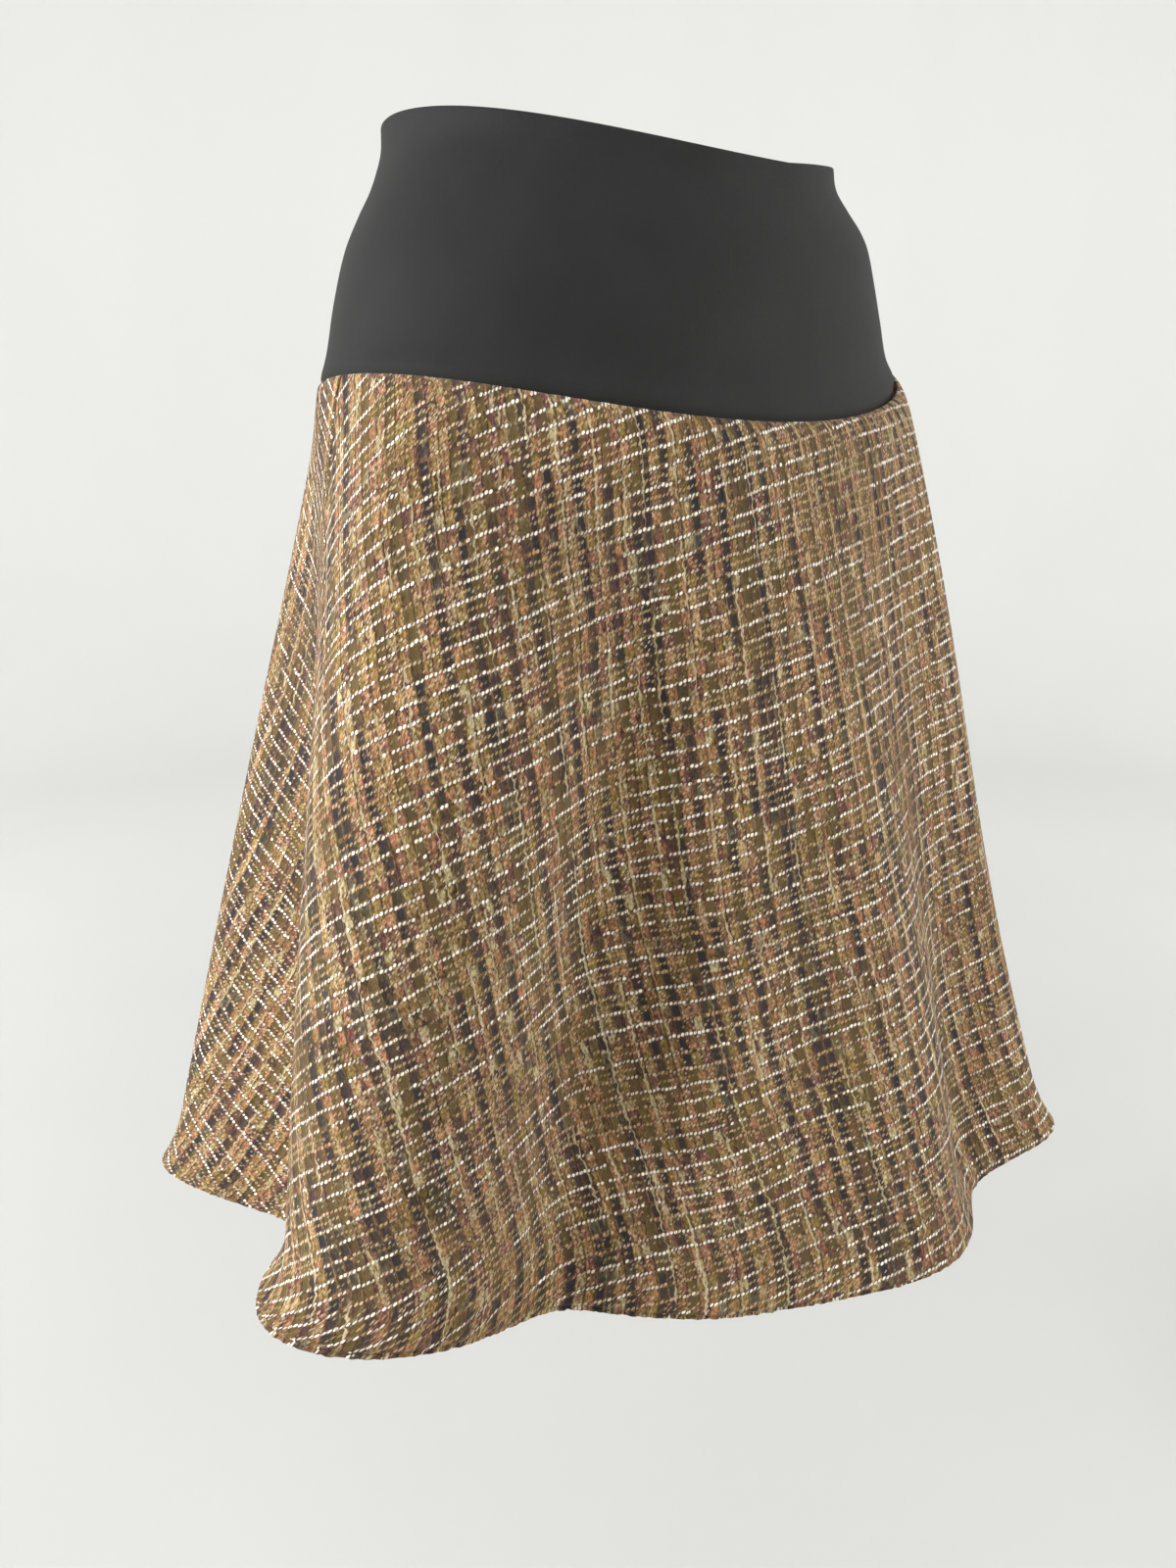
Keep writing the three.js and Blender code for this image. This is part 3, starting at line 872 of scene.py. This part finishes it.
    def strokes(level, half_width):
        """Rows of short slanted strokes: ellipses turned by a slope, one to each stroke pitch."""
        shifted = n.math("ADD", wefts, level)
        line = n.math("FLOOR", shifted)
        slot_at = n.math("ADD", n.math("DIVIDE", u, STROKE["pitch"]), n.times(waves[0], 2.4))
        index = n.math("FLOOR", slot_at)
        size = n.chance(index, line)
        jitter = n.math("SUBTRACT", n.chance(index, n.math("ADD", line, 0.5)), 0.5)
        off = n.times(in_cell(shifted), WEFT_PITCH)
        off = n.times_add(jitter, STROKE["jitter"], off)
        along_row = n.times(in_cell(slot_at), STROKE["pitch"])
        long, short = slanted(along_row, off)
        width = n.slope(size, 0, 1, half_width * 0.6, half_width * 1.35)
        far = n.math("POWER", n.math("DIVIDE", long, STROKE["half_length"]), 2)
        near = n.math("POWER", n.math("DIVIDE", short, width), 2)
        inside = n.span(n.math("ADD", far, near), 0.5, 1.1, 1, 0)
        return n.times(inside, n.span(size, 0.1, 0.2)), line, size

    # The rows of weft, pale in stretches, and the tan half rows.
    stroke, line, size = strokes(0.5, STROKE["row"])
    stroke = n.times(stroke, n.span(across, 0.4, 0.5, 1, 0.35))
    pale = n.times_add(pool, 0.4, n.times(along_yarn(line, "white_weft", u, 1), 0.7))
    paleness = n.span(pale, 0.28, 0.56)
    weft = n.mix(n.chance(line, DRAW["weft"]), solid(colours.tan), solid(RUST))
    weft = n.mix(paleness, weft, solid(colours.white))
    weft = n.shade(weft, n.slope(size, 0, 1, 0.6, 1.12))
    half_stroke, half_line, _ = strokes(0, STROKE["half_row"])
    half_share = n.span(along_yarn(half_line, "half_row", u), 0.35, 0.75, 0, 0.6)
    colour = n.mix(n.times(half_stroke, half_share), colour, solid(colours.tan))
    colour = n.mix(n.times(stroke, n.slope(paleness, 0, 1, 0.85, 1)), colour, weft)

    # The cream yarn.
    within = n.times(n.math("FRACT", n.math("DIVIDE", warps, BUNDLE)), BUNDLE * WARP_PITCH)
    crinkle = n.times(along_yarn(bundle, "crinkle", v), CREAM["crinkle"])
    where = n.times_add(n.chance(bundle, DRAW["cream"]), CREAM["play"], CREAM["at"])
    away = n.math("ABSOLUTE", n.math("SUBTRACT", within, n.math("ADD", where, crinkle)))
    girth = n.times_add(along_yarn(bundle, "slub", v), CREAM["slub"], CREAM["thin"])
    thin = n.span(n.math("DIVIDE", away, girth), 0.7, 1.3, 1, 0)
    thin = n.times(thin, n.span(along_yarn(bundle, "cream_fade", v), 0.35, 0.65, 0, 0.75))
    cream = n.mix(n.chance(bundle, DRAW["cream_tone"]), solid(colours.cream), solid(STRAW))
    colour = n.mix(thin, colour, n.shade(cream, n.slope(fibre, 0, 1, 0.6, 1.15)))
    colour = n.shade(colour, n.slope(pool, 0, 1, 0.96, 1.12))

    # Relief.
    bulge = n.math("SUBTRACT", 1, n.times(n.math("POWER", across, 2), 4))
    height = n.times(bulge, n.span(along, 0.2, 0.5, 0.6, 0.25))
    height = n.times_add(stroke, RELIEF["stroke"], height)
    height = n.times_add(tick, RELIEF["tick"], height)
    height = n.times_add(thin, RELIEF["cream"], height)
    height = n.times_add(fibre, RELIEF["fibre"], height)
    bump = n.add("Bump", {"Strength": 0.9, "Distance": RELIEF["depth"], "Height": height})
    n.surface({
        "Base Color": colour, "Roughness": 0.92, "Specular IOR Level": 0.2, "Normal": bump.outputs[0],
        "Sheen Weight": 0.1, "Sheen Roughness": 0.55, "Sheen Tint": (1, 0.9, 0.78, 1),
    })
    return material


def jersey_material(colours):
    """Fine black knit: small changes of colour and roughness and a soft sheen."""
    material, n = new_material("jersey_knit")
    place = n.add("UVMap", uv_map="Cloth").outputs[0]
    fibre = n.group(fibre_group(), {"Place": place, "Across": 1300, "Along": 700})["Fibre"]
    patch = n.noise(place, 30)
    shade = n.times_add(fibre, 0.3, n.slope(patch, 0, 1, 0.8, 0.95))
    colour = n.shade(solid(colours.jersey), shade)
    bump = n.add("Bump", {"Strength": 0.35, "Distance": 0.12 * MM, "Height": fibre})
    n.surface({
        "Base Color": colour, "Roughness": n.slope(fibre, 0, 1, 0.72, 0.86),
        "Specular IOR Level": 0.2, "Normal": bump.outputs[0],
        "Sheen Weight": 0.04, "Sheen Roughness": 0.4,
    })
    return material


# The backdrop: its floor's radius, where on the floor the painted shade near the skirt begins to fade,
# the disc that closes its middle, the radius of its bend into the wall, and the wall's height over the
# bend.
BACKDROP = {"floor": 2.6, "shaded": 1.0, "disc": 0.02, "bend": 1.4, "wall": 2.2}
BACKDROP_STEPS = {"floor": 12, "bend": 24, "round": 128}

# The lights, with the place that they are turned to, and the sky.
LAMPS = {
    "window": {"at": (-2.68, 1.35, 0.75), "size": 0.9, "watts": 151},
    "fill": {"at": (1.5, -2.45, 0.7), "size": 1.8, "watts": 70},
}
SKIRT_MIDDLE = (0, 0, -0.3)
SKY = {"colour": (1, 1, 0.99, 1), "strength": 0.52}
CAMERA_REACH = (0.05, 20)


def backdrop_material(settings):
    """One pale colour with a faint mottle, and painted shade that darkens the floor near the skirt."""
    material, n = new_material("backdrop_paint")
    place = n.add("TexCoord").outputs["Object"]
    away = n.add("VectorMath", {0: place}, operation="LENGTH").outputs["Value"]
    # Painted shade: the floor is darker near the skirt and fades to its full colour at the floor's
    # edge.
    shade = n.span(away, BACKDROP["shaded"], BACKDROP["floor"], settings.painted_floor_shade, 1)
    mottle = n.slope(n.noise(place, 3), 0, 1, 0.985, 1)
    n.surface({
        "Base Color": n.shade(solid(settings.backdrop), n.times(shade, mottle)),
        "Roughness": 0.9, "Specular IOR Level": 0.1,
    })
    return material


def shared_material(name, make, colours):
    """The material of that name, made once."""
    return bpy.data.materials.get(name) or make(colours)


# ---- Stage ----


def make_backdrop(settings):
    """A floor that curves up into a round wall: a profile of (radius, height) turned about the axis."""
    flat, bend = BACKDROP["floor"], BACKDROP["bend"]
    floor = np.linspace(BACKDROP["disc"], flat, BACKDROP_STEPS["floor"])
    angle = np.linspace(0, math.pi / 2, BACKDROP_STEPS["bend"])[1:]
    radius = np.concatenate([floor, flat + bend * np.sin(angle), [flat + bend]])
    height = np.concatenate([0 * floor, bend * (1 - np.cos(angle)), [bend + BACKDROP["wall"]]])
    turns = np.linspace(0, 2 * math.pi, BACKDROP_STEPS["round"] + 1)[:-1]
    points = np.stack([
        np.outer(np.cos(turns), radius), np.outer(np.sin(turns), radius),
        np.outer(np.ones(len(turns)), height) + settings.floor_height,
    ], axis=-1)
    faces = loop_grid(len(turns), len(radius), True).reshape(len(turns), len(radius), 4)[:, :-1]
    obj = new_mesh("backdrop", points, faces.reshape(-1, 4)[:, ::-1])
    work = bmesh.new()
    work.from_mesh(obj.data)
    work.verts.ensure_lookup_table()
    work.faces.new([work.verts[index * len(radius)] for index in range(len(turns))])
    work.to_mesh(obj.data)
    work.free()
    obj.data.materials.append(backdrop_material(settings))
    return obj


def aim(obj, target):
    """Points an object's -Z at a place."""
    obj.rotation_euler = (Vector(target) - obj.location).to_track_quat("-Z", "Y").to_euler()


def make_lights(scene):
    """Two wide soft lights, turned to the skirt, and a pale sky."""
    for name, lamp in LAMPS.items():
        data = bpy.data.lights.new(name, "AREA")
        data.shape, data.size, data.energy = "SQUARE", lamp["size"], lamp["watts"]
        light = bpy.data.objects.new(name, data)
        light.location = lamp["at"]
        aim(light, SKIRT_MIDDLE)
        scene.collection.objects.link(light)
    world = bpy.data.worlds.new("sky")
    world.use_nodes = True
    background = world.node_tree.nodes["Background"]
    background.inputs["Color"].default_value = SKY["colour"]
    background.inputs["Strength"].default_value = SKY["strength"]
    scene.world = world


def make_camera(settings, scene):
    """A camera on a level circle round the wearer. Its line of sight has its own turn and dip, and the
    roll turns its right and up axes about that line."""
    data = bpy.data.cameras.new("camera")
    data.lens = settings.lens
    data.clip_start, data.clip_end = CAMERA_REACH
    camera = bpy.data.objects.new("camera", data)
    turn, look, down = settings.camera_turn, settings.look_turn, settings.look_down
    place = Vector((math.sin(turn), -math.cos(turn), 0)) * settings.camera_distance
    place.z = settings.camera_height
    level = math.cos(down)
    forward = Vector((-math.sin(look) * level, math.cos(look) * level, -math.sin(down)))
    right = forward.cross(Vector((0, 0, 1))).normalized()
    up = right.cross(forward)
    roll = settings.camera_roll
    rolled_right = right * math.cos(roll) + up * math.sin(roll)
    rolled_up = up * math.cos(roll) - right * math.sin(roll)
    axes = Matrix((rolled_right, rolled_up, -forward)).transposed()
    camera.matrix_world = Matrix.Translation(place) @ axes.to_4x4()
    scene.collection.objects.link(camera)
    scene.camera = camera


# ---- Operators ----


class SkirtOperator:
    """What the operators share."""

    bl_options = {"REGISTER", "UNDO"}


class MakeYoke(SkirtOperator, bpy.types.Operator):
    """Builds the folded jersey band"""

    bl_idname = "skirt.make_yoke"
    bl_label = "Make the band"

    def execute(self, context):
        sizes, colours = context.scene.skirt_sizes, context.scene.skirt_colours
        yoke = make_yoke(sizes, shared_material("jersey_knit", jersey_material, colours))
        return {"FINISHED"}


class MakePanels(SkirtOperator, bpy.types.Operator):
    """Builds the front and back tweed panels with their turned-up hems"""

    bl_idname = "skirt.make_panels"
    bl_label = "Make the tweed panels"

    def execute(self, context):
        sizes, colours = context.scene.skirt_sizes, context.scene.skirt_colours
        tweed = shared_material("tweed_cloth", tweed_material, colours)
        for panel in SEAMS:
            cloth = make_panel(panel, sizes, tweed)
            hem = make_hem(panel, sizes, tweed)
            width, length, area = panel_cut(panel, sizes)
        return {"FINISHED"}


class MakeStage(SkirtOperator, bpy.types.Operator):
    """Builds the floor with its curved backdrop, the lights and the camera"""

    bl_idname = "skirt.make_stage"
    bl_label = "Make the stage"

    def execute(self, context):
        settings = context.scene.skirt_stage
        floor = make_backdrop(settings)
        make_lights(context.scene)
        make_camera(settings, context.scene)
        context.scene.view_settings.view_transform = "Standard"
        return {"FINISHED"}


class SkirtPanel(bpy.types.Panel):
    """Lists the steps that build the skirt"""

    bl_idname = "VIEW3D_PT_skirt"
    bl_label = "A-line skirt"
    bl_space_type = "VIEW_3D"
    bl_region_type = "UI"
    bl_category = "Skirt"

    def draw(self, context):
        for operator in OPERATORS:
            self.layout.operator(operator.bl_idname)
        for group in GROUPS:
            box = self.layout.box()
            settings = getattr(context.scene, group)
            for name in settings.__annotations__:
                box.prop(settings, name)


OPERATORS = (MakeStage, MakeYoke, MakePanels)
GROUPS = {"skirt_sizes": SkirtSizes, "skirt_colours": SkirtColours, "skirt_stage": StageSettings}
CLASSES = (*GROUPS.values(), *OPERATORS, SkirtPanel)


def register():
    for made in CLASSES:
        bpy.utils.register_class(made)
    for name, group in GROUPS.items():
        setattr(bpy.types.Scene, name, PointerProperty(type=group))


def unregister():
    for name in GROUPS:
        delattr(bpy.types.Scene, name)
    for made in reversed(CLASSES):
        bpy.utils.unregister_class(made)


def main():
    """Builds everything."""
    register()
    bpy.ops.skirt.make_stage()
    bpy.ops.skirt.make_yoke()
    bpy.ops.skirt.make_panels()


if __name__ == "__main__":
    main()
